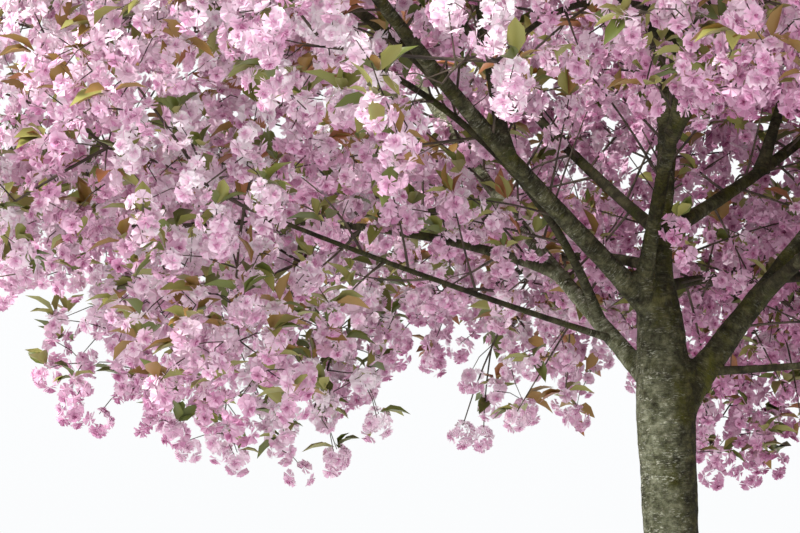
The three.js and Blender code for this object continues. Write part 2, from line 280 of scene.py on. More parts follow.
def clear_of_limbs(a, b, radius):
    """True where a straight twig from a to b touches none of the limbs."""
    u = b - a
    v = line_to - line_from
    w = a - line_from
    uu = u @ u
    vv = (v * v).sum(axis=1)
    uv = v @ u
    vw = (v * w).sum(axis=1)
    uw = w @ u
    spread = uu * vv - uv * uv
    crossing = spread > PARALLEL
    safe = np.where(crossing, spread, 1.0)
    s = np.clip(np.where(crossing, (uv * vw - vv * uw) / safe, 0.0), 0, 1)
    t = np.clip((vw + s * uv) / vv, 0, 1)
    s = np.clip((t * uv - uw) / uu, 0, 1) if uu > 0 else np.zeros_like(t)
    gap = np.linalg.norm(w + s[:, None] * u - t[:, None] * v, axis=1)
    return bool((gap >= radius + line_thick + LIMB_CLEAR).all())


spaces = []
for index in range(len(BOUGHS)):
    normal, offset = walls_of(index)
    spaces.append(SimpleNamespace(centre=centres[index], normal=normal, offset=offset))
print(len(spaces), "spaces between heights", round(SKIRT, 2), "and", round(CROWN[2] + CROWN_HALF[2], 2))

# %% [markdown]
# ## Twigs by a seeded rule
# Sprays of blossom are placed by a sequence that fills a box evenly and never repeats, and a
# place is kept only where the spray fits its space and touches no limb. Then each spray is joined
# to the nearest twig that isn't a roundabout way from the stem. A growth simulation would do the
# same slowly: this rule gives forks that look grown, and it gives the same ones on every run.

# %% Place the sprays and join them
SPRAY_TRIES = 900
SPRAYS = 9
SPRAY_SMALL, SPRAY_LARGE = 0.225, 0.325
SPRAY_SPACING = 0.74
STEM = 0.15
GAP = 0.0003
PATH_COST = 0.4
TWIG = 0.0065
# the steps of the even sequence, one for each axis, and the golden section for single numbers
EVEN = np.array([0.8191725134, 0.6710436067, 0.5497004779])
GOLDEN = 0.6180339887
SEED_STEP = 613


def fraction(value):
    return value - math.floor(value)


def even_place(n):
    return 2 * np.array([fraction(0.5 + n * step) for step in EVEN]) - 1


def place_sprays(index, space):
    sprays = []
    for k in range(1, SPRAY_TRIES + 1):
        n = index * SEED_STEP + k
        p = space.centre + MASS_REACH * even_place(n)
        r = SPRAY_SMALL + (SPRAY_LARGE - SPRAY_SMALL) * fraction(n * GOLDEN)
        if not inside_space(space, p, r) or crown_share(p) <= CORE:
            continue
        apart = all(np.linalg.norm(p - q.p) > SPRAY_SPACING * (r + q.r) for q in sprays)
        if apart and clear_of_limbs(p, p, r):
            sprays.append(SimpleNamespace(p=p, r=r, seed=n, load=0))
        if len(sprays) == SPRAYS:
            break
    return sprays


def join(nodes, ends, thick, path_cost=PATH_COST):
    """Join each end to the node from which the way back to the stem is shortest."""
    first = nodes[0].p
    joined_ends = []
    for end in sorted(ends, key=lambda end: np.linalg.norm(end.p - first)):
        best, least = None, math.inf
        for node in nodes:
            step = np.linalg.norm(node.p - end.p)
            cost = step + path_cost * node.way
            if cost < least and clear_of_limbs(node.p, end.p, thick):
                best, least = node, cost
        if best is None:
            continue
        end.parent = best
        end.way = best.way + np.linalg.norm(best.p - end.p)
        nodes.append(end)
        joined_ends.append(end)
    return joined_ends


masses = []
for index, row in enumerate(BOUGHS):
    limb = limbs[row[0]]
    foot = limb.points[-1] + limb.headings[-1] * GAP
    hub = SimpleNamespace(p=foot + limb.headings[-1] * STEM, way=0.0, parent=None, load=0)
    sprays = join([hub], place_sprays(index, spaces[index]), 2 * TWIG)
    for spray in sprays:
        up = spray
        while up is not None:
            up.load += 1
            up = up.parent
    masses.append(SimpleNamespace(name=row[0], foot=foot, hub=hub, sprays=sprays, tip=limb.tip))
print(sum(len(mass.sprays) for mass in masses), "sprays on", len(masses), "masses")

# %% [markdown]
# ## Openings that show the boughs
# Seen from the path, the main boughs run clear for a long way before blossom hides them, since
# a street tree's boughs are pruned from below. A few openings keep blossom out of the sight line
# between the path and those boughs. The eye is a named point here, so nothing depends on the
# camera, and from any other side the openings are lost among the twigs.

# %% Name the boughs that show
# bough, from and to along it, half the opening's width
SHOWN = [
    ("left_main", 0.1, 2.16, 0.07), ("left_back", 0.0, 0.8, 0.07), ("left_back", 1.05, 1.4, 0.045),
    ("left", 0.0, 0.7, 0.03), ("left_skirt", 0.0, 0.6, 0.03), ("left_inner", 0.0, 0.5, 0.05),
    ("front", 0.0, 0.58, 0.06), ("leader", 0.0, 0.1, 0.06), ("right_back", 0.25, 1.1, 0.055),
    ("right", 0.0, 1.1, 0.08), ("right_front", 0.0, 0.25, 0.05), ("right_low", 0.0, 0.5, 0.045),
]
SHOWN_STEP = 0.06
SHOWN_IN_FRONT = 0.02

shown = [
    (on_limb(name, s), half)
    for name, low, high, half in SHOWN for s in np.arange(low, high, SHOWN_STEP)
]
eye = np.array(EYE)
shown_half = np.array([half for point, half in shown])
shown_way = np.array([point for point, half in shown]) - eye
shown_reach = np.linalg.norm(shown_way, axis=1)
shown_way /= shown_reach[:, None]


def hides_a_bough(p, r):
    """True where a ball of blossom stands between the eye and a bough that shows."""
    along = shown_way @ (p - eye)
    aside = np.linalg.norm((p - eye)[None] - shown_way * along[:, None], axis=1)
    nearer = along < shown_reach - SHOWN_IN_FRONT
    return bool((nearer & (aside < shown_half * along / shown_reach + r)).any())


print(len(shown), "points of the boughs stay in sight")

# %% [markdown]
# ## Finer twigs and clusters
# On the real tree a spray is a few side twigs, and short spurs on them carry clusters of
# stalked flowers, each a loose ball as wide as a hand. The same rule is used once more at a
# smaller size: cluster places in and a little round each spray, joined back to its twig.
# A cluster that would come too near another, leave the crown or touch a limb is skipped.

# %% Bend a twig
rng = np.random.default_rng(20)
twigs = []


def grow_twig(a, b, foot_thick, end_thick, mass, wander=0.08, arch=0.06):
    """A twig whose middle wanders a little aside and arches upwards, both shares of its length."""
    reach = np.linalg.norm(b - a)
    aside = rng.normal(size=3) * wander * reach
    c = (a + b) / 2 + aside + np.array([0, 0, arch * reach])
    twig = SimpleNamespace(a=a, b=b, c=c, thick=(foot_thick, end_thick), mass=mass)
    twigs.append(twig)
    return twig


def on_twig(twig, t):
    return (1 - t) ** 2 * twig.a + 2 * t * (1 - t) * twig.c + t * t * twig.b


# %% Find room for the clusters
CLUSTER = 0.062
CLUSTER_SPACING = 0.117
CLUSTER_TRIES = 92
CLUSTER_SPREAD = 1.16
CLUSTER_SEED_STEP = 31
# the radius that a cluster counts with beside a sight line, and beside a limb
SIGHT_BALL = 0.03
LIMB_BALL = CLUSTER * 0.8
# the blossom hangs this far below its twig's end, and this far inside the solid model's box
DROP = np.array([0, 0, 0.034])
EDGE = 0.045
clusters = []
taken = {}
box_low = np.array(cad_box[0]) + EDGE
box_high = np.array(cad_box[1]) - EDGE


def cell_of(p):
    return tuple(int(v) for v in np.floor(p / CLUSTER_SPACING))


def is_free(p):
    x, y, z = cell_of(p)
    for i in (x - 1, x, x + 1):
        for j in (y - 1, y, y + 1):
            for k in (z - 1, z, z + 1):
                for other in taken.get((i, j, k), ()):
                    if np.linalg.norm(p - other) < CLUSTER_SPACING:
                        return False
    return True


def may_bloom(p):
    if (p < box_low).any() or (p > box_high).any():
        return False
    if p[2] - CLUSTER < underside(p[0], p[1], CLUSTER) or not is_free(p):
        return False
    return not hides_a_bough(p, SIGHT_BALL) and clear_of_limbs(p, p, LIMB_BALL)


def new_cluster(p, mass, seed, low, leafy=False):
    """A cluster that takes its cell: low says how far down it hangs in its spray, for its painted shade.
    """
    taken.setdefault(cell_of(p), []).append(p)
    return SimpleNamespace(p=p, mass=mass, seed=seed, low=low, leafy=leafy)


def place_clusters(mass, seed, p, r):
    ends = []
    for k in range(CLUSTER_TRIES):
        offset = even_place(seed * CLUSTER_SEED_STEP + k)
        here = p + offset * r * CLUSTER_SPREAD
        if offset @ offset <= 1 and may_bloom(here):
            # how low it hangs in its spray sets its painted shade
            ends.append(new_cluster(here, mass, seed, -offset[2]))
    return ends


print("clusters stand at least", CLUSTER_SPACING, "apart")

# %% [markdown]
# ## The twigs of the sprays
# A twig is as thick as what it carries asks for: where it forks, the branches together are about
# as strong as the twig below them. So thickness follows a power of the number of sprays that hang
# on a twig, and a branch is never thicker than the wood it leaves.

# %% Grow the sprays' twigs
# how thickness grows with the load, then shares of it at the stem, at forks and at a twig's end
LOAD_POWER = 0.45
SPRAY_TWIG = TWIG * 0.62
STEM_FIT = 0.96
STEM_BRANCH = 0.8
FOOT_MOST = 1.5
TWIG_END = 0.7
# where short shoots may leave a twig, and what it costs them to start far from its end
FORKS_AT = (0.45, 0.6, 0.75, 0.9, 1.0)
FORK_WAY = 0.1
FORK_COST = 0.15
SHOOT_CLEAR = 0.004
SHOOT = 0.0034
FINE_SHOOT = 0.0024
SHOOT_END = 0.0016

for mass in masses:
    for spray in mass.sprays:
        spray.thick = SPRAY_TWIG * spray.load ** LOAD_POWER
    stem = min(mass.tip, TWIG * mass.hub.load ** LOAD_POWER)
    grow_twig(mass.foot, mass.hub.p, mass.tip * STEM_FIT, stem, mass.name, wander=0.0, arch=0.0)
    for spray in mass.sprays:
        base = stem * STEM_BRANCH if spray.parent is mass.hub else spray.parent.thick
        base = min(base, spray.thick * FOOT_MOST)
        main = grow_twig(spray.parent.p, spray.p, base, spray.thick * TWIG_END, mass.name)
        forks = [
            SimpleNamespace(p=on_twig(main, t), way=FORK_WAY * (1 - t), parent=None) for t in FORKS_AT
        ]
        ends = place_clusters(mass.name, spray.seed, spray.p, spray.r)
        for end in join(forks, ends, SHOOT_CLEAR, FORK_COST):
            thick = SHOOT if end.parent.parent is None else FINE_SHOOT
            grow_twig(end.parent.p, end.p + DROP, thick, SHOOT_END, mass.name, wander=0.1, arch=0.12)
            clusters.append(end)
print(len(clusters), "clusters on the sprays")

# %% [markdown]
# ## Side twigs on the boughs
# Boughs are not bare between the fork and the crown's shell. Short side twigs stand on them all
# the way out, each with a few clusters, and they fill the inside of the crown. They follow the
# bough's line by the golden angle, as buds do on a real shoot. The boughs on the side away from
# the path carry more of them, because nobody prunes them there.

# %% Grow the side twigs
BACK = [
    "back", "left_back", "right_back", "back_top", "left_inner", "leader", "back_left_skirt",
    "back_right_skirt", "right_back_low",
]
# distance from one side twig to the next, then the shortest and the longest of them
SIDE_TWIGS = (0.1, 0.2, 0.62)
SIDE_TWIGS_BACK = (0.05, 0.2, 0.76)
SIDE_FROM = 0.08
# how far a side twig leans along its bough and upwards, and how far its clusters stray from it
SIDE_LEAN = 0.55
SIDE_RISE = np.array([0, 0, 0.15])
SIDE_WANDER = 0.035
SIDE_SEED_STEP = 41
# how low a side twig's clusters count as hanging, which sets their painted shade
SIDE_LOW_FOR_PAINTED_SHADE = 0.3
SIDE_FOOT, SIDE_END = 0.0055, 0.0022
FIRST_CLUSTER = 0.14
CLUSTER_STEP = 0.08
SHOOT_BACK = 0.12
SHOOT_FIRST, SHOOT_LAST = 0.1, 0.9
GOLDEN_ANGLE = math.tau * (1 - GOLDEN)


def side_way(name, s, turn):
    """Which way a side twig points that leaves its bough at an angle round it."""
    along = along_limb(name, s)
    side = np.cross(along, [0.0, 0.0, 1.0])
    side /= np.linalg.norm(side)
    other = np.cross(side, along)
    way = SIDE_LEAN * along + (math.cos(turn) * side + math.sin(turn) * other) + SIDE_RISE
    return way / np.linalg.norm(way)


def side_twig(name, order, number, s, reach):
    """One side twig, its short shoots and their clusters; False where none of them has room."""
    way = side_way(name, s, GOLDEN_ANGLE * number + order)
    start = on_limb(name, s)
    ends = []
    for step in np.arange(FIRST_CLUSTER, reach, CLUSTER_STEP):
        here = start + way * step + rng.normal(scale=SIDE_WANDER, size=3) - DROP
        if may_bloom(here):
            ends.append(new_cluster(here, name, order * SIDE_SEED_STEP + number, SIDE_LOW_FOR_PAINTED_SHADE))
            ends[-1].step = step
    if not ends:
        return False
    last = ends.pop()
    main = grow_twig(start, last.p + DROP, SIDE_FOOT, SIDE_END, name, wander=0.05, arch=0.05)
    last.parent = SimpleNamespace(p=start)
    clusters.append(last)
    for end in ends:
        share = min(SHOOT_LAST, max(SHOOT_FIRST, end.step / last.step - SHOOT_BACK))
        end.parent = SimpleNamespace(p=on_twig(main, share))
        grow_twig(end.parent.p, end.p + DROP, SIDE_END, SHOOT_END, name, wander=0.1, arch=0.1)
        clusters.append(end)
    return True


side_count = 0
for order, row in enumerate(BOUGHS):
    length = limbs[row[0]].length
    spacing, shortest, longest = SIDE_TWIGS_BACK if row[0] in BACK else SIDE_TWIGS
    for number, s in enumerate(np.arange(length * SIDE_FROM, length, spacing)):
        reach = shortest + (longest - shortest) * fraction((number + order) * GOLDEN)
        side_count += side_twig(row[0], order, number, s, reach)
print(side_count, "side twigs;", len(clusters), "clusters on", len(twigs), "twigs in all")

# %% [markdown]
# ## Spurs on the bare wood
# Cherries also flower on short spurs that stand on wood as thick as an arm. A few are listed: near the
# fork, all along the low bough on the left, and where the crown's far side would be thin between the
# boughs.

# %% Set the spurs
# bough, distance along it, from there to the middle of the first cluster, clusters
SPURS = [
    ("front", 0.26, (0.07, -0.1, -0.03), 1), ("front", 0.24, (0.1, -0.09, -0.1), 1),
    ("left_main", 1.3, (0.03, -0.12, 0.06), 1), ("left_back", 1.2, (-0.02, -0.12, 0.02), 1),
    ("right", 0.92, (0.05, -0.12, 0.03), 1),
    ("back", 0.85, (-0.22, 0.3, 0.33), 3), ("back", 1.1, (-0.41, 0.42, 0.28), 3),
    ("back", 0.85, (0.24, 0.4, 0.3), 3), ("back_left_skirt", 0.25, (0.09, 0.38, -0.17), 2),
    ("back_right_skirt", 0.25, (0.06, 0.35, -0.02), 2),
]
# the row along the low bough: from, to, step, and its spurs stand by turns above it and below it
ROW = (0.12, 1.1, 0.11)
ROW_RIGHT, ROW_FORWARD, ROW_ABOVE = 0.03, -0.11, 0.04
SPUR_SPREAD = 0.07
SPUR_FORK = 0.7
SPUR_SEED = 1

for number, s in enumerate(np.arange(*ROW)):
    SPURS.append(("left_low", s, (ROW_RIGHT, ROW_FORWARD, ROW_ABOVE * (-1) ** number), 1))
for name, s, offset, count in SPURS:
    start = on_limb(name, s)
    for k in range(count):
        here = start + np.array(offset) + rng.normal(scale=SPUR_SPREAD, size=3) * (k > 0)
        root = on_twig(main, SPUR_FORK) if k else start
        end = new_cluster(here, name, SPUR_SEED, SIDE_LOW_FOR_PAINTED_SHADE, leafy=True)
        end.parent = SimpleNamespace(p=root)
        spur = grow_twig(root, here + DROP, SHOOT, SHOOT_END, name, wander=0.05, arch=0.1)
        main = main if k else spur
        clusters.append(end)
print(len(SPURS), "spurs;", len(clusters), "clusters in all")

# %% [markdown]
# ## One flower
# The flower of a double cherry is a ruffled rosette: the outer petals lie almost flat, the inner
# ones stand up round the middle, and no two lie at the same angle. A full petal needs hundreds
# of faces, which a tree with forty thousand flowers can't afford. A cherry petal is narrow at
# its root and broad at its rim, so one face of three corners stands for each, and the ruffle
# comes from the angles: every petal is tilted and rolled a little differently.

# %% Model the flowers
# petals, length, half width, tilt from level, height of its root, shade
WHORLS = [
    (8, 1.0, 0.38, 8, 0.0, -0.2),
    (6, 0.88, 0.36, 31, 0.05, 0.3),
    (4, 0.7, 0.34, 54, 0.09, 0.9),
    (2, 0.48, 0.3, 72, 0.1, 1.6),
]
WHORL_TURN = 0.5
FLOWER_KINDS = 4
SHADE_STEPS = 100
PETAL_ROOT = 0.04
# how much the petals differ: in length, half width, tilt, roll, place round the flower, shade
LONGER, WIDER = (0.82, 1.1), (0.8, 1.15)
TILTED, ROLLED, TURNED, SHADED = (-15, 15), (-0.5, 0.5), (-0.2, 0.2), (-0.4, 0.6)
# height and half width of the three-cornered circle that a petal starts as
TRIANGLE_HEIGHT, TRIANGLE_HALF = 1.5, 0.866


def add_petal(flower, length, half, height, tilt, roll, around, shade):
    made = bmesh.ops.create_circle(flower, cap_ends=True, segments=3, radius=1.0)
    verts = made["verts"]
    far = max(v.co.y for v in verts)
    for v in verts:
        t = (far - v.co.y) / TRIANGLE_HEIGHT
        v.co = Vector((PETAL_ROOT + t * length, v.co.x / TRIANGLE_HALF * half, 0.0))
    for angle, axis in ((roll, "X"), (-math.radians(tilt), "Y"), (around, "Z")):
        turned = Matrix.Rotation(angle, 3, axis)
        bmesh.ops.rotate(flower, verts=verts, matrix=turned, cent=(0, 0, 0))
    bmesh.ops.translate(flower, verts=verts, vec=(0, 0, height))
    for face in {face for v in verts for face in v.link_faces}:
        face.material_index = round(SHADE_STEPS * shade)


def template(shape):
    """Corner places, triangles and material numbers of a small shape, as arrays."""
    bmesh.ops.triangulate(shape, faces=shape.faces[:], quad_method="LONG_EDGE")
    shape.verts.index_update()
    corners = np.array([v.co[:] for v in shape.verts])
    triangles = np.array([[v.index for v in face.verts] for face in shape.faces])
    numbers = np.array([face.material_index for face in shape.faces])
    shape.free()
    return SimpleNamespace(corners=corners, triangles=triangles, numbers=numbers)


flowers = []
for kind in range(FLOWER_KINDS):
    flower = bmesh.new()
    for whorl, (count, length, half, tilt, height, shade) in enumerate(WHORLS):
        for k in range(count):
            add_petal(
                flower,
                length * rng.uniform(*LONGER),
                half * rng.uniform(*WIDER),
                height,
                tilt + rng.uniform(*TILTED),
                rng.uniform(*ROLLED),
                math.tau * k / count + WHORL_TURN * whorl + kind + rng.uniform(*TURNED),
                max(0.0, shade + rng.uniform(*SHADED)),
            )
    flowers.append(template(flower))
print("a flower has", len(flowers[0].triangles), "triangles")

# %% [markdown]
# ## One leaf
# The young leaves come with the flowers, in tufts above them. Each is a pointed oval, folded
# along its midrib and arched, and still bronze where it has just opened. A leaf is a small grid,
# narrowed to its outline, folded and bent.

# %% Model the leaf
LEAF_OUTLINE = [0.08, 0.96, 0.84, 0.0]
LEAF_WIDTH = 0.22
LEAF_FOLD = 0.6
LEAF_ARCH = 0.34
LEAF_RISE = 0.16

leaf = bmesh.new()
bmesh.ops.create_grid(leaf, x_segments=3, y_segments=2, size=1.0)
for v in leaf.verts:
    t = (v.co.x + 1) / 2
    half = np.interp(t * 3, range(4), LEAF_OUTLINE) * LEAF_WIDTH
    side = v.co.y
    v.co = Vector((t, side * half, abs(side) * half * LEAF_FOLD - LEAF_ARCH * t * t + LEAF_RISE * t))
bmesh.ops.remove_doubles(leaf, verts=leaf.verts[:], dist=0.001)
LEAF = template(leaf)
print("a leaf has", len(LEAF.triangles), "triangles")

# %% [markdown]
# ## Colours dealt out by spray
# Flowers that have been open longest are the palest, and the hearts of the flowers are deep
# pink. A colour map over the whole crown could paint that, but plain colours dealt out by spray,
# with a shade darker for the inner whorls, keep their place however the tree is used.

# %% Make the plain colours
PETAL_COLOURS = {
    "petal_white": (253, 243, 249), "petal_blush": (246, 222, 236), "petal_pale": (236, 196, 220),
    "petal_pink": (218, 162, 196), "petal_rose": (188, 118, 158), "petal_deep": (150, 76, 114),
}
LEAF_COLOURS = {
    "leaf_olive": (124, 126, 58), "leaf_green": (98, 108, 46), "leaf_fresh": (150, 148, 80),
    "leaf_bronze": (150, 118, 62), "leaf_copper": (156, 102, 62),
}
PETAL_ROUGH, PETAL_GLOSS = 0.6, 0.3
LEAF_ROUGH, LEAF_GLOSS = 0.45, 0.45


def linear(red, green, blue):
    """A colour as the eye sees it, from 0 to 255, in the even measure that Blender works in."""
    parts = []
    for value in (red, green, blue):
        value /= 255
        parts.append(value / 12.92 if value <= 0.04045 else ((value + 0.055) / 1.055) ** 2.4)
    return (*parts, 1.0)


def nodes_of(name, roughness, gloss=0.5):
    material = bpy.data.materials.new(name)
    material.use_nodes = True
    tree = material.node_tree
    shader = tree.nodes["Principled BSDF"]
    shader.inputs["Roughness"].default_value = roughness
    shader.inputs["Specular IOR Level"].default_value = gloss
    return material, tree, shader


def plain(name, colour, roughness, gloss):
    material, tree, shader = nodes_of(name, roughness, gloss)
    shader.inputs["Base Color"].default_value = linear(*colour)
    return material


PETALS = [plain(name, colour, PETAL_ROUGH, PETAL_GLOSS) for name, colour in PETAL_COLOURS.items()]
LEAVES = [plain(name, colour, LEAF_ROUGH, LEAF_GLOSS) for name, colour in LEAF_COLOURS.items()]
print(len(PETALS), "petal colours and", len(LEAVES), "leaf colours")

# %% [markdown]
# ## Join many small things into one mesh
# Copies of an object are light in Blender but are lost when a model is sent elsewhere. So the
# flowers become real meshes: arrays of places and turns are multiplied with the corners of the
# one flower, all at once, and the crown is parted into eight stretches to keep each mesh handy.

# %% Name the stretches of the crown
STRETCHES = {
    "left_low": ["left_skirt", "left_low", "back_left_low", "front_hanging"],
    "left_high": ["left", "left_main", "left_high", "left_back"],
    "top_left": ["left_top", "left_inner", "leader"],
    "top_right": ["right_top", "back_top", "right_back_top"],
    "front": ["front", "front_left", "front_low", "front_right"],
    "right": ["right", "right_front", "right_skirt"],
    "right_low": ["right_low", "right_back_low"],
    "back": ["back", "back_left_skirt", "back_right_skirt", "right_back"],
}
STEEP = 0.9


def hand_over(piece, nodes):
    """Fix a piece to the tree's one body and hide the solids it takes the place of."""
    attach(piece, "root")
    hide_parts(*nodes)
    print(piece.name, len(piece.data.polygons), "triangles")


def mesh_piece(name, arrays, shades, materials):
    """A piece from arrays of corners and triangles; each triangle's shade picks its material."""
    corners, triangles = arrays
    numbers = np.clip(np.floor(shades), 0, len(materials) - 1)
    mesh = bpy.data.meshes.new(name)
    mesh.vertices.add(len(corners))
    mesh.vertices.foreach_set("co", np.ascontiguousarray(corners, np.float32).ravel())
    mesh.loops.add(3 * len(triangles))
    mesh.loops.foreach_set("vertex_index", np.ascontiguousarray(triangles, np.int32).ravel())
    mesh.polygons.add(len(triangles))
    mesh.polygons.foreach_set("loop_start", np.arange(0, 3 * len(triangles), 3, dtype=np.int32))
    for material in materials:
        mesh.materials.append(material)
    mesh.polygons.foreach_set("material_index", np.ascontiguousarray(numbers, np.int32))
    mesh.update(calc_edges=True)
    mesh.validate()
    return add_object(name, mesh)


def joined(parts):
    """Several pairs of corners and triangles as one pair."""
    starts = np.cumsum([0] + [len(corners) for corners, triangles in parts[:-1]])
    triangles = [triangles + start for (corners, triangles), start in zip(parts, starts)]
    return np.concatenate([corners for corners, triangles in parts]), np.concatenate(triangles)


def turns_to(directions, spins):
    """A turn for each direction that points +Z along it, after a spin about +Z."""
    z = unit(directions)
    side = np.where(np.abs(z[:, 2:]) > STEEP, [[1.0, 0, 0]], [[0, 0, 1.0]])
    x = unit(np.cross(side, z))
    y = np.cross(z, x)
    c, s = np.cos(spins)[:, None], np.sin(spins)[:, None]
    return np.stack([x * c + y * s, y * c - x * s, z], axis=2)


def copies(shape, turns, sizes, places):
    corners = np.einsum("nij,vj->nvi", turns * sizes[:, None, None], shape.corners)
    corners = (corners + places[:, None, :]).reshape(-1, 3)
    steps = np.arange(len(places)) * len(shape.corners)
    triangles = (shape.triangles[None] + steps[:, None, None]).reshape(-1, 3)
    return corners, triangles


print(len(STRETCHES), "stretches of the crown")

# %% [markdown]
# ## The blossom
# A cluster is a ball of five or six flowers that face outwards, a little below the twig's end, because
# the stalks are soft. Each spray has its own shade. Light and shade are also painted into the petal
# colours: flowers on top of each ball and on the sunny side of the crown are painted palest, and those
# under a ball, low in a spray, inside the crown and away from the sun are painted deeper.

# %% Hang the flowers
FLOWER_SIZE = 0.0275
FLOWER_SIZES = (0.86, 1.14)
FLOWERS = 6
BALL_LOOSE = 0.22
BALL_DEPTH = (0.5, 0.75)
NOD = np.array([0, 0, -0.12])
# how many steps of petal colour each cause adds: the spray, the side of the ball as painted light on top
# and painted shade below, painted shade low in the spray and inside the crown, chance, and painted shade
# on the side of the crown away from the sun
SHADE_SPRAY = 1.2
PAINTED_LIGHT_AND_SHADE_BALL = 1.3
SHADE_WAIST, SHADE_TOP = 0.33, 0.5
PAINTED_SHADE_LOW = 0.7
PAINTED_SHADE_INSIDE = 0.2
SHADE_LOOSE = 0.8
PAINTED_SHADE_AWAY_FROM_SUN = 2.8
SUNNY_EDGE = 0.6
OUTER_SHARE = 0.75


def ball_directions(count, seed):
    k = np.arange(count) + 0.5
    height = 1 - 2 * k / count
    around = math.tau * (k * GOLDEN + fraction(seed * GOLDEN * 3))
    level = np.sqrt(1 - height**2)
    return np.stack([level * np.cos(around), level * np.sin(around), height], axis=1)


def cluster_flowers(cluster, number):
    """Which way each flower of a cluster faces, where it sits and how deep its shade is, with painted
    light and shade in it.
    """
    count = FLOWERS - (number % 3 == 0)
    ball = unit(ball_directions(count, number + 7) + rng.normal(scale=BALL_LOOSE, size=(count, 3)))
    places = cluster.p + ball * CLUSTER * rng.uniform(*BALL_DEPTH, size=(count, 1))
    # painted shade: flowers inside the crown are deeper
    inside = 1 - min(1.0, crown_share(cluster.p) / OUTER_SHARE)
    # painted shade: flowers are deeper towards the side of the crown away from the sun
    away = max(0.0, cluster.p[0] + SUNNY_EDGE) / CROWN_HALF[0]
    # painted shade: flowers hanging low in their spray are deeper
    shade = SHADE_SPRAY * fraction(cluster.seed * GOLDEN) + PAINTED_SHADE_LOW * cluster.low
    shade += PAINTED_SHADE_INSIDE * inside + PAINTED_SHADE_AWAY_FROM_SUN * away
    # painted light and shade: flowers on top of the ball are paler, those under it deeper
    shade = shade + PAINTED_LIGHT_AND_SHADE_BALL * (SHADE_WAIST - SHADE_TOP * ball[:, 2])
    return ball + NOD, places, shade + rng.uniform(0, SHADE_LOOSE, size=count)


def blossom(stretch, names):
    own = [c for c in clusters if c.mass in names]
    sets = [cluster_flowers(cluster, number) for number, cluster in enumerate(own)]
    directions, places, shades = (np.concatenate(rows) for rows in zip(*sets))
    turns = turns_to(directions, rng.uniform(0, math.tau, len(places)))
    sizes = FLOWER_SIZE * rng.uniform(*FLOWER_SIZES, len(places))
    kinds = rng.integers(0, FLOWER_KINDS, len(places))
    parts, petal_shades = [], []
    for kind, flower in enumerate(flowers):
        same = kinds == kind
        parts.append(copies(flower, turns[same], sizes[same], places[same]))
        petal_shades.append((shades[same][:, None] + flower.numbers / SHADE_STEPS).ravel())
    piece = mesh_piece("blossom_of_" + stretch, joined(parts), np.concatenate(petal_shades), PETALS)
    hand_over(piece, ["blossom_" + name for name in names])
    return len(places)


total = sum(blossom(stretch, names) for stretch, names in STRETCHES.items())
print(total, "flowers")

# %% [markdown]
# ## The young leaves
# The leaf tuft stands at the twig's end, above its flowers. Not every cluster has one. Leaves on
# one spray opened on the same day, so they share their tint.

# %% Set the leaves
LEAF_LENGTH = 0.106
LEAF_SIZES = (0.65, 1.2)
TUFT = 4
TUFT_SHARE = 0.55
LEAFIER = {"front": 0.78, "right": 0.78, "top_right": 0.74, "right_low": 0.7}
# a leaf points partly away from its twig and partly up, and fans out mostly to the sides
LEAF_OUT, LEAF_UP = 0.6, np.array([0, 0, 0.62])
LEAF_FAN = 0.75
LEAF_FAN_SHAPE = [1, 1, 0.55]
LEAF_LEAN = 0.35
LEAF_ABOVE = DROP * 1.25
LEAF_STALK = 0.01
TINT_SPRAY, TINT_LOOSE = 2.8, 2.2


def tuft_leaves(cluster):
    """Which way each leaf of a tuft points, where it starts and which tint it has."""
    out = cluster.p - cluster.parent.p
    out = LEAF_OUT * out / (np.linalg.norm(out) + 1e-9) + LEAF_UP
    fan = unit(out + rng.normal(scale=LEAF_FAN, size=(TUFT, 3)) * LEAF_FAN_SHAPE)
    tint = fraction(cluster.seed * GOLDEN * 5) * TINT_SPRAY + rng.uniform(0, TINT_LOOSE, size=TUFT)
    return fan, cluster.p + LEAF_ABOVE + fan * LEAF_STALK, tint


def leaves(stretch, names):
    own = [c for c in clusters if c.mass in names]
    share = LEAFIER.get(stretch, TUFT_SHARE)
    own = [c for c in own if rng.uniform() < share or c.leafy]
    ways, places, tints = (np.concatenate(rows) for rows in zip(*map(tuft_leaves, own)))
    lean = rng.normal(scale=LEAF_LEAN, size=ways.shape) + [0, 0, 1.0]
    y = unit(np.cross(lean, ways))
    turns = np.stack([ways, y, np.cross(ways, y)], axis=2)
    sizes = LEAF_LENGTH * rng.uniform(*LEAF_SIZES, len(places))
    tints = np.repeat(tints, len(LEAF.triangles))
    piece = mesh_piece("leaves_of_" + stretch, copies(LEAF, turns, sizes, places), tints, LEAVES)
    hand_over(piece, ["blossom_" + name for name in names])
    return len(places)


total = sum(leaves(stretch, names) for stretch, names in STRETCHES.items())
print(total, "leaves")

# %% [markdown]
# ## The twigs' bark
# A twig's bark is dark, with a grey bloom where the light has bleached it. One noise pattern in
# the piece's own space is enough for it, because the blossom hides most of every twig.

# %% Make the twig bark


def link(tree, source, target):
    tree.links.new(source, target)


def ramp(tree, factor, stops):
    node = tree.nodes.new("ShaderNodeValToRGB")
    elements = node.color_ramp.elements
    while len(elements) < len(stops):
        elements.new(0.5)
    for element, (place, colour) in zip(elements, stops):
        element.position = place
        element.color = colour
    link(tree, factor, node.inputs["Fac"])
    return node.outputs["Color"]


def grain(tree, vector, scale, detail=4.0, roughness=0.6):
    node = tree.nodes.new("ShaderNodeTexNoise")
    node.inputs["Scale"].default_value = scale
    node.inputs["Detail"].default_value = detail
    node.inputs["Roughness"].default_value = roughness
    link(tree, vector, node.inputs["Vector"])
    return node.outputs["Fac"]


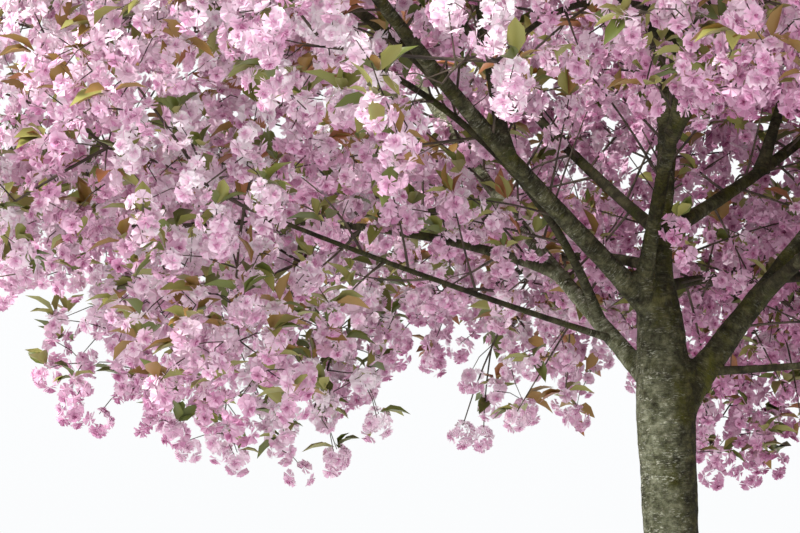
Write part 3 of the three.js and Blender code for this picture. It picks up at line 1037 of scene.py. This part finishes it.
twig_bark, tree, shader = nodes_of("twig_bark", 0.8)
place = tree.nodes.new("ShaderNodeTexCoord").outputs["Object"]
tone = ramp(tree, grain(tree, place, 14.0), [
    (0.35, linear(46, 38, 32)), (0.55, linear(78, 66, 54)), (0.72, linear(112, 104, 86)),
])
link(tree, tone, shader.inputs["Base Color"])
print(twig_bark.name, "made")

# %% [markdown]
# ## The twigs as tubes
# Each twig is a tube along its bent line, with six sides where it is thick and three where it is
# thin. The frames of all the twigs of a stretch are worked out together, so that thousands of
# them take a moment.

# %% Draw the twigs
THIN_TWIG = 0.0036
# steps along the twig, sides
THICK_TUBE = (6, 6)
THIN_TUBE = (2, 3)
TINY = 1e-12


def tubes(rows, segments, sides):
    a = np.array([twig.a for twig in rows])
    b = np.array([twig.b for twig in rows])
    c = np.array([twig.c for twig in rows])
    thick = np.array([twig.thick for twig in rows])
    t = np.linspace(0, 1, segments + 1)[None, :, None]
    line = (1 - t) ** 2 * a[:, None] + 2 * t * (1 - t) * c[:, None] + t * t * b[:, None]
    way = unit(2 * (1 - t) * (c - a)[:, None] + 2 * t * (b - c)[:, None], TINY)
    steep = np.abs(way[:, :1, 2:]) > STEEP
    side = np.cross(way[:, :1], np.where(steep, [[[1.0, 0, 0]]], [[[0, 0, 1.0]]]))
    side = unit(side - (side * way).sum(axis=2)[:, :, None] * way, TINY)
    other = np.cross(way, side)
    radius = thick[:, :1, None] * (1 - t) + thick[:, 1:, None] * t
    angle = (math.tau * np.arange(sides) / sides)[None, None, :, None]
    ring = side[:, :, None] * np.cos(angle) + other[:, :, None] * np.sin(angle)
    corners = line[:, :, None] + radius[:, :, None] * ring
    base = (np.arange(len(rows)) * (segments + 1) * sides)[:, None, None]
    low = base + np.arange(segments)[None, :, None] * sides
    j = np.arange(sides)[None, None, :]
    k = (j + 1) % sides
    first = np.stack([low + j, low + k, low + sides + k], axis=-1)
    second = np.stack([low + j, low + sides + k, low + sides + j], axis=-1)
    end = base[:, 0, 0] + segments * sides
    caps = np.stack([end, end + 1, end + 2], axis=-1)
    triangles = np.concatenate([first.reshape(-1, 3), second.reshape(-1, 3), caps])
    return corners.reshape(-1, 3), triangles


for stretch, names in STRETCHES.items():
    rows = [twig for twig in twigs if twig.mass in names]
    thick_rows = [twig for twig in rows if twig.thick[0] > THIN_TWIG]
    thin_rows = [twig for twig in rows if twig.thick[0] <= THIN_TWIG]
    arrays = joined([tubes(thick_rows, *THICK_TUBE), tubes(thin_rows, *THIN_TUBE)])
    piece = mesh_piece("twigs_of_" + stretch, arrays, np.zeros(len(arrays[1])), [twig_bark])
    piece.data.shade_smooth()
    hand_over(piece, ["blossom_" + name for name in names])

# %% [markdown]
# ## The limbs' skin
# Where a bough leaves the trunk the bark flows over both. Tubes pushed into each other leave a
# hard crease there. So the trunk and the thick limbs are drawn as tubes, melted into one skin by
# a voxel remesh, and smoothed. The thin boughs start as stubs in that skin and go on as tubes.

# %% Draw a limb as a tube
THICK = ["trunk", "left_back", "left_main", "front", "leader", "right", "back", "right_back"]
# the bark swells round a fork: how much wider a limb's foot is, and how fast that fades
SWELL = {"right": (0.8, 0.2), "left_back": (0.45, 0.14), "left_main": (0.35, 0.14)}
SWELL_OTHER = (0.22, 0.07)


def flare(s, angle):
    lobe = 0.5 + 0.5 * math.cos(FLARE_LOBES * angle + FLARE_TURN)
    return 1 + FLARE_DEPTH * math.exp(-s / FLARE_FADE) * lobe


def limb_tube(shape, name, until, sides, step, shrink=0.0):
    """One limb from its foot to a distance along it; shrink narrows it towards that end."""
    count = max(3, round(until / step))
    stops = [until * k / count for k in range(count + 1)]
    way = Vector(along_limb(name, 0)).normalized()
    turn = Vector((0, 0, 1)).rotation_difference(way)
    made = bmesh.ops.create_circle(shape, cap_ends=True, segments=sides, radius=1.0)
    verts = made["verts"]
    everything = list(verts)
    edges = list(dict.fromkeys(edge for v in verts for edge in v.link_edges))
    frame_before = Matrix.Identity(4)
    for number, s in enumerate(stops):
        if number:
            made = bmesh.ops.extrude_edge_only(shape, edges=edges)["geom"]
            verts = [g for g in made if isinstance(g, bmesh.types.BMVert)]
            edges = [g for g in made if isinstance(g, bmesh.types.BMEdge)]
            edges = [e for e in edges if all(v in verts for v in e.verts)]
            everything += verts
        new_way = Vector(along_limb(name, s)).normalized()
        turn = way.rotation_difference(new_way) @ turn
        way = new_way
        size = float(limbs[name].radius(s)) * (1 - shrink * (s / until) ** 2)
        if name != "trunk":
            swell, fade = SWELL.get(name, SWELL_OTHER)
            size *= 1 + swell * math.exp(-s / fade)
        frame_now = Matrix.LocRotScale(Vector(on_limb(name, s)), turn, Vector((size, size, size)))
        bmesh.ops.transform(shape, matrix=frame_now @ frame_before.inverted(), verts=verts)
        frame_before = frame_now
    bmesh.ops.edgeloop_fill(shape, edges=edges)
    return everything


# %% Melt the thick limbs into one skin
VOXEL = 0.0083
STUB = 0.24
# sides, then the distance from ring to ring
TRUNK_TUBE = (40, 0.05)
BOUGH_TUBE = (16, 0.05)
STUB_TUBE = (14, 0.03, 0.5)


def mesh_of(shape, name):
    mesh = bpy.data.meshes.new(name)
    shape.to_mesh(mesh)
    shape.free()
    return mesh


skin = bmesh.new()
for v in limb_tube(skin, "trunk", limbs["trunk"].length, *TRUNK_TUBE):
    middle = on_limb("trunk", v.co.z)
    away = Vector((v.co.x - middle[0], v.co.y - middle[1], 0))
    v.co += away * (flare(max(v.co.z, 0.0), math.atan2(away.y, away.x)) - 1)
for name in THICK[1:]:
    limb_tube(skin, name, limbs[name].length, *BOUGH_TUBE)
for name, parent, *rest in BOUGHS:
    if name not in THICK and parent in THICK:
        limb_tube(skin, name, STUB, *STUB_TUBE)
bmesh.ops.recalc_face_normals(skin, faces=skin.faces[:])
rough_mesh = mesh_of(skin, "skin_draft")
draft = add_object("skin_draft", rough_mesh)
melt = draft.modifiers.new("melt", "REMESH")
melt.mode = "VOXEL"
melt.voxel_size = VOXEL
melt.adaptivity = 0.0
graph = bpy.context.evaluated_depsgraph_get()
melted = bpy.data.meshes.new_from_object(draft.evaluated_get(graph))
bpy.data.objects.remove(draft)
bpy.data.meshes.remove(rough_mesh)
print("the melted skin has", len(melted.polygons), "faces")

# %% [markdown]
# ## Lichen and painted shade on the bark
# Lichen greys the bark where light and rain reach it: the trunk's left side, and the bough that leaves
# the lower fork to the left. On the trunk the grey falls off towards the right side, away from the sun,
# and that is partly painted shade. Painting it by hand would not follow the tree. So each limb has a
# share of grey, and a side bough starts as grey as the bough that it leaves.

# %% Say how grey each limb is
LICHEN = {"left_back": 0.85, "left_main": 0.22, "right": 0.06}
LICHEN_OTHER = 0.08
# the trunk's grey fades into the boughs' olive between these heights
LICHEN_FADE = (2.2, 2.65)
LICHEN_RUN = 0.14
# the trunk's grey in front, and how much it changes from the left side to the right: less lichen on the
# right, and painted shade on the side away from the sun
LICHEN_MIDDLE, LICHEN_AND_PAINTED_SHADE_SIDE = 0.6, 0.75
PARENT = {row[0]: row[1] for row in BOUGHS}


def lichen_along(name):
    own = LICHEN.get(name, LICHEN_OTHER)
    parent = PARENT.get(name, "trunk")
    from_parent = own if parent == "trunk" else LICHEN.get(parent, LICHEN_OTHER)
    s = np.arange(STEPS) * limbs[name].length / STEPS
    return own + (from_parent - own) * np.exp(-s / LICHEN_RUN)


print(len(LICHEN), "boughs have a grey of their own")

# %% [markdown]
# ## Places on the bark
# Cherry bark is marked across the limb by lenticels, short pale slots that lie round it like
# rings. A pattern on plain coordinates would cut through a leaning bough. So each corner keeps
# its place on the bark: the distance along its own limb and the place round it, as if the limb
# were unbent. The bark's pattern and its relief both read that place.

# %% Find the place on the bark
# how softly the lichen passes from limb to limb, how far apart two limbs' patterns lie, and how
# many corners are worked out at once
SOFT = 0.012
PATTERN_APART = 0.37
AT_ONCE = 4000


def limb_steps(names):
    """The straight steps of some limbs, as arrays with one row for each step."""
    rows = []
    for order, name in enumerate(names):
        limb = limbs[name]
        stops = np.linspace(0, limb.length, STEPS + 1)
        thick = np.array([float(limb.radius(s)) for s in stops])
        rows.append(dict(
            start=limb.points[:-1], run=limb.points[1:] - limb.points[:-1], along=stops[:-1],
            thick=thick[:-1], taper=thick[1:] - thick[:-1], lichen=lichen_along(name),
            on_trunk=np.full(STEPS, name == "trunk"), order=np.full(STEPS, order),
            last=np.arange(STEPS) == STEPS - 1,
        ))
    return SimpleNamespace(**{key: np.concatenate([row[key] for row in rows]) for key in rows[0]})


def bark_places(corners, names):
    """Place round and along the nearest limb, distance from its middle, and lichen with painted shade on
    the trunk's right side, by corner.
    """
    steps = limb_steps(names)
    square = (steps.run * steps.run).sum(axis=1)
    places = np.empty((len(corners), 3))
    depth = np.empty(len(corners))
    lichen = np.empty(len(corners))
    for low in range(0, len(corners), AT_ONCE):
        part = slice(low, low + AT_ONCE)
        p = corners[part]
        w = p[:, None] - steps.start
        free = (w * steps.run).sum(axis=2) / square
        t = np.clip(free, 0, 1)
        foot = w - t[:, :, None] * steps.run
        distance = np.linalg.norm(foot, axis=2)
        above = distance - steps.thick - steps.taper * t
        best = above.argmin(axis=1)
        row = np.arange(len(p))
        length = np.sqrt(square[best])
        way = steps.run[best] / length[:, None]
        side = unit(np.cross(way, [[0.0, 1.0, 0.0]]))
        off = foot[row, best]
        past_end = steps.last[best] & (free[row, best] > 1)
        reach = np.where(past_end, free[row, best], t[row, best])
        places[part, 0] = (off * side).sum(axis=1) + PATTERN_APART * steps.order[best]
        places[part, 1] = (off * np.cross(way, side)).sum(axis=1)
        places[part, 2] = steps.along[best] + reach * length
        depth[part] = distance[row, best]
        up = np.clip((p[:, 2:] - LICHEN_FADE[0]) / (LICHEN_FADE[1] - LICHEN_FADE[0]), 0, 1)
        # painted shade: on the trunk the grey drops towards the right side, partly for less lichen and
        # partly as shade away from the sun
        to_right = foot[:, :, 0] / np.maximum(distance, 1e-6)
        grey = np.clip(LICHEN_MIDDLE - LICHEN_AND_PAINTED_SHADE_SIDE * to_right, 0, 1) * (1 - up) + up * LICHEN_OTHER
        grey = np.where(steps.on_trunk, grey, steps.lichen)
        weight = np.exp(-(above - above.min(axis=1)[:, None]) / SOFT)
        lichen[part] = (grey * weight).sum(axis=1) / weight.sum(axis=1)
    return places, depth, lichen


def bark_piece(shape, name, names):
    """A piece of bark from a finished shape: its corners keep their place and their lichen and painted
    shade.
    """
    bmesh.ops.triangulate(shape, faces=shape.faces[:])
    mesh = mesh_of(shape, name)
    corners = np.empty(3 * len(mesh.vertices), np.float32)
    mesh.vertices.foreach_get("co", corners)
    places, depth, lichen = bark_places(corners.reshape(-1, 3).astype(float), names)
    layer = mesh.attributes.new("bark_place", "FLOAT_VECTOR", "POINT")
    layer.data.foreach_set("vector", np.ascontiguousarray(places, np.float32).ravel())
    layer = mesh.attributes.new("lichen", "FLOAT", "POINT")
    layer.data.foreach_set("value", np.ascontiguousarray(lichen, np.float32))
    mesh.shade_smooth()
    nodes = [limb if limb == "trunk" else "bough_" + limb for limb in names]
    hand_over(add_object(name, mesh), nodes)
    return mesh


# %% [markdown]
# ## The relief of the bark
# The skin of the melt is too even. The real trunk has shallow hollows, swollen rings where the
# bark has stretched, and scars of lost twigs. They are pushed in and out along each corner's
# normal, by noise on its place on the bark, with less push on thin limbs.

# %% Smooth and carve the skin
SMOOTHINGS = 4
# how far the relief goes, and how fine it is
LUMPS = 0.0042
LUMP_FINENESS, SMALL_LUMP_FINENESS, SMALL_LUMPS = 9.0, 23.0, 0.5
RINGS = 0.0011
RING_FINENESS, RING_CLOSENESS = 6, 60
FULL_PUSH_FROM = 0.05
# height, bearing in degrees, radius, how far it stands out
SCARS = [
    (2.12, 255, 0.032, 0.011), (1.72, 290, 0.024, 0.008), (1.35, 200, 0.03, 0.009),
    (0.92, 320, 0.028, 0.008), (0.6, 120, 0.03, 0.009), (1.9, 80, 0.03, 0.01),
]
SCAR_HOLLOW = 0.45


def scar_push(corner):
    """A scar is a low mound with a hollow in its middle."""
    push = 0.0
    for height, bearing, size, out in SCARS:
        if abs(corner.z - height) < 3 * size:
            side = Vector(heading(bearing, 0)) * float(limbs["trunk"].radius(height))
            away = (corner - Vector(on_limb("trunk", height)) - side).length / size
            push += out * (math.exp(-away * away) - SCAR_HOLLOW * math.exp(-((away / SCAR_HOLLOW) ** 2)))
    return push


shape = bmesh.new()
shape.from_mesh(melted)
bpy.data.meshes.remove(melted)
for turn_number in range(SMOOTHINGS):
    bmesh.ops.smooth_vert(
        shape, verts=shape.verts[:], factor=0.5, use_axis_x=True, use_axis_y=True, use_axis_z=True
    )
shape.normal_update()
places, depth, lichen = bark_places(np.array([v.co[:] for v in shape.verts]), THICK)
for v, place, d in zip(shape.verts, places, depth):
    at = Vector(place)
    small = SMALL_LUMPS * noise.noise(at * SMALL_LUMP_FINENESS)
    push = LUMPS * (noise.noise(at * LUMP_FINENESS) + small)
    ring_at = Vector((at.x * RING_FINENESS, at.y * RING_FINENESS, at.z * RING_CLOSENESS))
    push += RINGS * noise.noise(ring_at)
    push *= min(1.0, d / FULL_PUSH_FROM)
    v.co += v.normal * (push + scar_push(v.co))
print(len(shape.verts), "corners carved")

# %% [markdown]
# ## The flat cut at the ground
# The melt rounds the trunk's lower edge, and the tree stands in level ground. A bisect plane
# takes the rounded part off a little above the ground, and the rim is drawn straight down to it.

# %% Cut the foot and make the piece
CUT_HEIGHT = 0.003

bmesh.ops.bisect_plane(
    shape, geom=shape.verts[:] + shape.edges[:] + shape.faces[:],
    plane_co=(0, 0, CUT_HEIGHT), plane_no=(0, 0, -1), clear_outer=True,
)
rim = [e for e in shape.edges if e.is_boundary]
foot_edge = bmesh.ops.extrude_edge_only(shape, edges=rim)["geom"]
for g in foot_edge:
    if isinstance(g, bmesh.types.BMVert):
        g.co.z = 0.0
rim = [g for g in foot_edge if isinstance(g, bmesh.types.BMEdge) and g.is_boundary]
bmesh.ops.edgeloop_fill(shape, edges=rim)
skin_mesh = bark_piece(shape, "bark_of_trunk_and_main_boughs", THICK)

# %% [markdown]
# ## The thin boughs
# A thin bough is one tube from its foot, inside the skin of the limb that carries it, to its tip.
# Noise on its corners keeps it from looking drawn, and it is finished like the skin.

# %% Draw the thin boughs
THIN_BOUGH_TUBE = (12, 0.025)
THIN_LUMPS = 0.0012
THIN_LUMP_FINENESS = 38.0
THIN = [row[0] for row in BOUGHS if row[0] not in THICK]

shape = bmesh.new()
for name in THIN:
    limb_tube(shape, name, limbs[name].length, *THIN_BOUGH_TUBE)
shape.normal_update()
bmesh.ops.recalc_face_normals(shape, faces=shape.faces[:])
for v in shape.verts:
    v.co += v.normal * THIN_LUMPS * noise.noise(v.co * THIN_LUMP_FINENESS)
thin_mesh = bark_piece(shape, "bark_of_side_boughs", THIN)

# %% [markdown]
# ## The bark's finish
# From far off the bark is a warm grey-green. Near by it is grey where lichen grows and olive elsewhere,
# in small patches, with moss where there is little lichen; on the trunk the olive and moss of the right
# side are partly painted shade. Thin dark lines and pale dashes run round the limb, and pale flecks lie
# on it in groups. Every one of these marks is a noise pattern, squeezed along the limb so that its
# grains lie across it, and shown only where the noise passes a limit. Cells or stripes would be quicker,
# but they look too even.

# %% Name the marks of the bark
# squeeze along the limb, scale, detail, roughness, then where the mark starts and where it is full
MARKS = {
    "moss": (0.6, 9.0, 6.0, 0.7, 0.5, 0.66),
    "lines": (4.5, 32.0, 6.0, 0.7, 0.5, 0.36),
    "flecks": (2.8, 60.0, 3.0, 0.7, 0.54, 0.64),
    "dashes": (6.0, 34.0, 3.0, 0.6, 0.6, 0.67),
    "groups": (1.8, 17.0, 4.0, 0.66, 0.46, 0.6),
}
OUTSIDE_GROUPS = 0.12
GREY_STOPS = (0.36, 0.5, 0.64)
OLIVE_STOPS = (0.36, 0.5, 0.66)
# scale, detail, roughness
PATCHES = (24.0, 8.0, 0.7)
LOOSE_EDGE = (5.0, 4.0, 0.7)
ROUGH_RELIEF = (40.0, 3.0, 0.6)
FINE_RELIEF = (150.0, 4.0, 0.7)
ROUGH_SQUEEZE = 2.5


def mapped(tree, vector, squeeze):
    """The same places, drawn out or squeezed along the limb only."""
    node = tree.nodes.new("ShaderNodeMapping")
    node.inputs["Scale"].default_value = (1.0, 1.0, squeeze)
    link(tree, vector, node.inputs["Vector"])
    return node.outputs["Vector"]


def mark(tree, vector, name, outside=0.0):
    squeeze, scale, detail, roughness, start, full = MARKS[name]
    pattern = grain(tree, mapped(tree, vector, squeeze), scale, detail, roughness)
    stops = sorted([(start, (outside, outside, outside, 1)), (full, (1, 1, 1, 1))])
    return ramp(tree, pattern, stops)


print(len(MARKS), "marks of the bark")

# %% Mix colours and numbers


def colour_mix(tree, factor, low, high):
    node = tree.nodes.new("ShaderNodeMix")
    node.data_type = "RGBA"
    link(tree, factor, node.inputs[0])
    for socket, value in ((node.inputs[6], low), (node.inputs[7], high)):
        if isinstance(value, tuple):
            socket.default_value = value
        else:
            link(tree, value, socket)
    return node.outputs[2]


def maths(tree, operation, first, second):
    node = tree.nodes.new("ShaderNodeMath")
    node.operation = operation
    for socket, value in zip(node.inputs, (first, second)):
        if isinstance(value, (int, float)):
            socket.default_value = value
        else:
            link(tree, value, socket)
    return node.outputs[0]


def attribute(tree, name):
    node = tree.nodes.new("ShaderNodeAttribute")
    node.attribute_name = name
    return node


# %% Build the bark's colour and relief
LOOSE_SHARE = 0.7
MOSS_OFF_LICHEN = 0.6
LINE_SHARE = 0.6
DASH_SHARE = 0.7
MARKS_ON_LICHEN, MARKS_ELSEWHERE = 0.85, 0.03
DASH_RELIEF = 0.6
BARK_ROUGH, BARK_GLOSS = 0.88, 0.22
RELIEF_STRENGTH, RELIEF_DEPTH = 0.8, 0.004


def bark_ground(tree, here, share, tones):
    """Patches of grey and olive by the share of lichen, which on the trunk also holds painted shade,
    with moss where there is little.
    """
    patch = grain(tree, here, *PATCHES)
    grey = ramp(tree, patch, list(zip(GREY_STOPS, tones["grey"])))
    olive = ramp(tree, patch, list(zip(OLIVE_STOPS, tones["olive"])))
    colour = colour_mix(tree, share, olive, grey)
    bare = maths(tree, "SUBTRACT", 1.0, maths(tree, "MULTIPLY", share, MOSS_OFF_LICHEN))
    mossy = maths(tree, "MULTIPLY", mark(tree, here, "moss"), bare)
    return colour_mix(tree, mossy, colour, tones["moss"])


def bark_marks(tree, where, dashes, share, colour, tones):
    """Dark lines across the limb, then pale flecks and dashes in groups."""
    lines = maths(tree, "MULTIPLY", mark(tree, where, "lines"), LINE_SHARE)
    colour = colour_mix(tree, lines, colour, tones["olive"][0])
    faint_dashes = maths(tree, "MULTIPLY", dashes, DASH_SHARE)
    pale = maths(tree, "MAXIMUM", mark(tree, where, "flecks"), faint_dashes)
    pale = maths(tree, "MULTIPLY", pale, mark(tree, where, "groups", OUTSIDE_GROUPS))
    strong = maths(tree, "ADD", maths(tree, "MULTIPLY", share, MARKS_ON_LICHEN), MARKS_ELSEWHERE)
    return colour_mix(tree, maths(tree, "MULTIPLY", pale, strong), colour, tones["flecks"])


def bark_relief(tree, where, dashes, shader):
    rough = grain(tree, mapped(tree, where, ROUGH_SQUEEZE), *ROUGH_RELIEF)
    height = maths(tree, "ADD", grain(tree, where, *FINE_RELIEF), rough)
    height = maths(tree, "ADD", height, maths(tree, "MULTIPLY", dashes, DASH_RELIEF))
    bump = tree.nodes.new("ShaderNodeBump")
    bump.inputs["Strength"].default_value = RELIEF_STRENGTH
    bump.inputs["Distance"].default_value = RELIEF_DEPTH
    link(tree, height, bump.inputs["Height"])
    link(tree, bump.outputs["Normal"], shader.inputs["Normal"])


def bark_finish(name, tones):
    material, tree, shader = nodes_of(name, BARK_ROUGH, BARK_GLOSS)
    where = attribute(tree, "bark_place").outputs["Vector"]
    lichen = attribute(tree, "lichen").outputs["Fac"]
    here = tree.nodes.new("ShaderNodeTexCoord").outputs["Object"]
    loose = maths(tree, "MULTIPLY", grain(tree, here, *LOOSE_EDGE), LOOSE_SHARE)
    share = maths(tree, "ADD", lichen, maths(tree, "SUBTRACT", loose, LOOSE_SHARE / 2))
    dashes = mark(tree, where, "dashes")
    colour = bark_ground(tree, here, share, tones)
    colour = bark_marks(tree, where, dashes, share, colour, tones)
    link(tree, colour, shader.inputs["Base Color"])
    bark_relief(tree, where, dashes, shader)
    return material


# %% [markdown]
# ## Old bark and young bark
# The bark of the trunk and the main boughs is older than that of the side boughs: its patches
# differ more, and its marks are paler. Both have the same build and differ in their tones.

# %% Give each piece its bark
OLD_TONES = {
    "grey": [linear(56, 56, 38), linear(112, 115, 88), linear(162, 165, 138)],
    "olive": [linear(20, 17, 8), linear(45, 42, 21), linear(78, 75, 38)],
    "moss": linear(72, 72, 14),
    "flecks": linear(232, 234, 212),
}
YOUNG_TONES = {
    "grey": [linear(52, 50, 34), linear(88, 88, 66), linear(128, 129, 104)],
    "olive": [linear(25, 22, 14), linear(48, 44, 28), linear(74, 70, 46)],
    "moss": linear(60, 64, 24),
    "flecks": linear(176, 176, 152),
}
skin_mesh.materials.append(bark_finish("old_bark", OLD_TONES))
thin_mesh.materials.append(bark_finish("young_bark", YOUNG_TONES))
print("bark made")

# %% [markdown]
# ## The stage
# The tree stands on a plain pale floor in soft light from a bright sky, palest near the horizon.
# A broad sun gives each ball of flowers a light side and a shaded side with soft edges.

# %% Light the tree
FLOOR_REACH = 400.0
FLOOR_DROP = 0.001
FLOOR_GREY = (0.6, 0.6, 0.6, 1.0)
# height above the horizon, from 0 to 1, and the sky's colour there
SKY = [
    (0.0, (0.96, 0.97, 0.98, 1.0)), (0.2, (1.0, 1.01, 1.02, 1.0)), (0.4, (0.72, 0.73, 0.75, 1.0)),
    (1.0, (0.72, 0.73, 0.75, 1.0)),
]
SUN_STRENGTH = 5.8
SUN_SPREAD = 16
SUN_BEARING, SUN_HEIGHT = 218, 42
SUN_COLOUR = (1.0, 0.98, 0.95)

ground = bmesh.new()
bmesh.ops.create_circle(ground, cap_ends=True, segments=96, radius=FLOOR_REACH)
bmesh.ops.translate(ground, verts=ground.verts[:], vec=(0, 0, -FLOOR_DROP))
floor = add_object("floor", mesh_of(ground, "floor"))
floor_paint, tree, shader = nodes_of("floor_paint", 0.9)
shader.inputs["Base Color"].default_value = FLOOR_GREY
floor.data.materials.append(floor_paint)

world = bpy.data.worlds.new("sky")
bpy.context.scene.world = world
world.use_nodes = True
tree = world.node_tree
height = tree.nodes.new("ShaderNodeSeparateXYZ")
link(tree, tree.nodes.new("ShaderNodeTexCoord").outputs["Generated"], height.inputs["Vector"])
link(tree, ramp(tree, height.outputs["Z"], SKY), tree.nodes["Background"].inputs["Color"])
tree.nodes["Background"].inputs["Strength"].default_value = 1.0

light = bpy.data.lights.new("sun_soft", "SUN")
light.energy = SUN_STRENGTH
light.angle = math.radians(SUN_SPREAD)
light.color = SUN_COLOUR
lamp = add_object("sun_soft", light)
lamp.rotation_mode = "QUATERNION"
lamp.rotation_quaternion = Vector(heading(SUN_BEARING, SUN_HEIGHT)).to_track_quat("Z", "Y")
bpy.context.scene.view_settings.view_transform = "Standard"
print("lit from bearing", SUN_BEARING, "and height", SUN_HEIGHT)

# %% [markdown]
# ## The solid model's size
# The dressed tree must not outgrow the solid model, so the solid model's box is printed.

# %% Print the solid model's size
print("solid model", cad_box)
